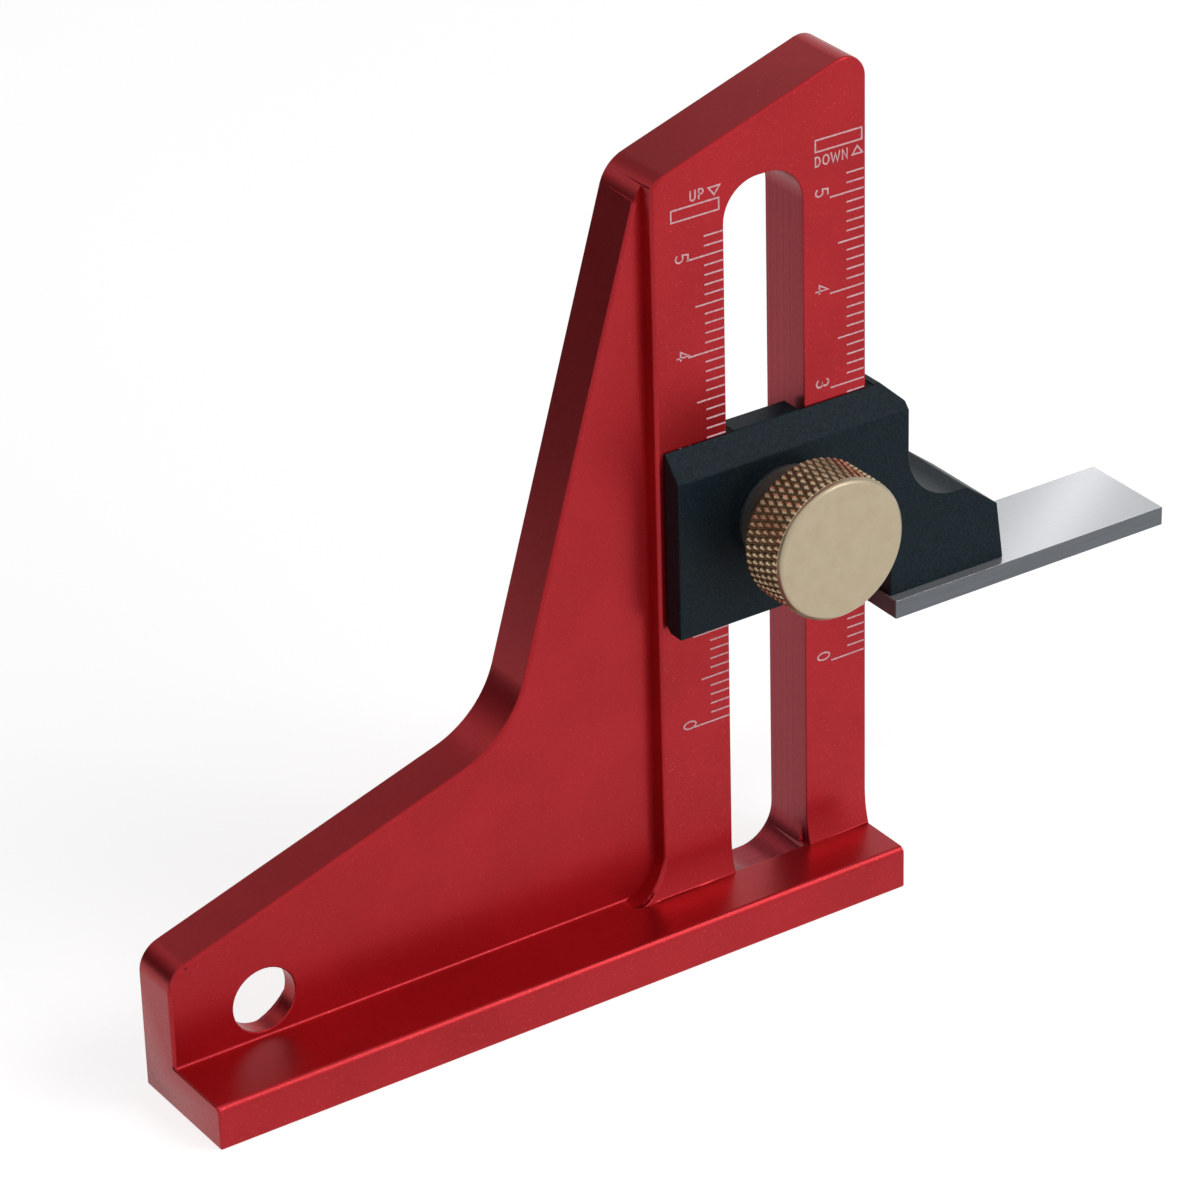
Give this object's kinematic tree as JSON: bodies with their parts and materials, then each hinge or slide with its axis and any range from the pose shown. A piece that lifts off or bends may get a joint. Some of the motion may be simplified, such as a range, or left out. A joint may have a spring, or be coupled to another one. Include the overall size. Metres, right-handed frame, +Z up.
{
  "type": "saw height gauge",
  "caption": "Saw and router height gauge: a slotted scale column with a web and a foot, and a clamped slider with a bevelled index edge that carries a flat feeler blade.",
  "frame": {"origin": "centre of the foot's underside", "axes": "+X along the foot to the feeler blade's end, +Y from the scale face to the back, +Z up"},
  "size_m": [0.1141, 0.0242, 0.0883],
  "materials": {
    "red_anodised": "bead-blasted, red anodised",
    "black_anodised": "fine milled, black anodised",
    "blade_steel": "ground",
    "knob_brass": "turned and knurled",
    "hardware_steel": "zinc plated"
  },
  "bodies": {
    "frame": {"stand": "red_anodised"},
    "slide": {"slider": "black_anodised", "feeler_blade": "blade_steel", "feeler_screws": "hardware_steel", "knob_washer": "hardware_steel"},
    "thumbscrew": {"knob": "knob_brass", "clamp_stud": "hardware_steel", "stud_ring": "hardware_steel"},
    "nut": {"clamp_nut": "hardware_steel"}
  },
  "joints": [
    {"name": "slider_travel", "type": "slide", "parent": "frame", "child": "slide", "axis": [0, 0, 1], "range_m": [-0.027, 0.022]},
    {"name": "knob_turn", "type": "hinge", "parent": "slide", "child": "thumbscrew", "pos_m": [0.02785, -0.0027, 0.0445], "axis": [0, -1, 0], "range_deg": [0, 540]},
    {"name": "nut_release", "type": "slide", "parent": "slide", "child": "nut", "axis": [0, 1, 0], "range_m": [0, 0.00121]}
  ],
  "couplings": [
    {"joint": "nut_release", "follows": "knob_turn", "m_per_rad": 0.00012732}
  ]
}
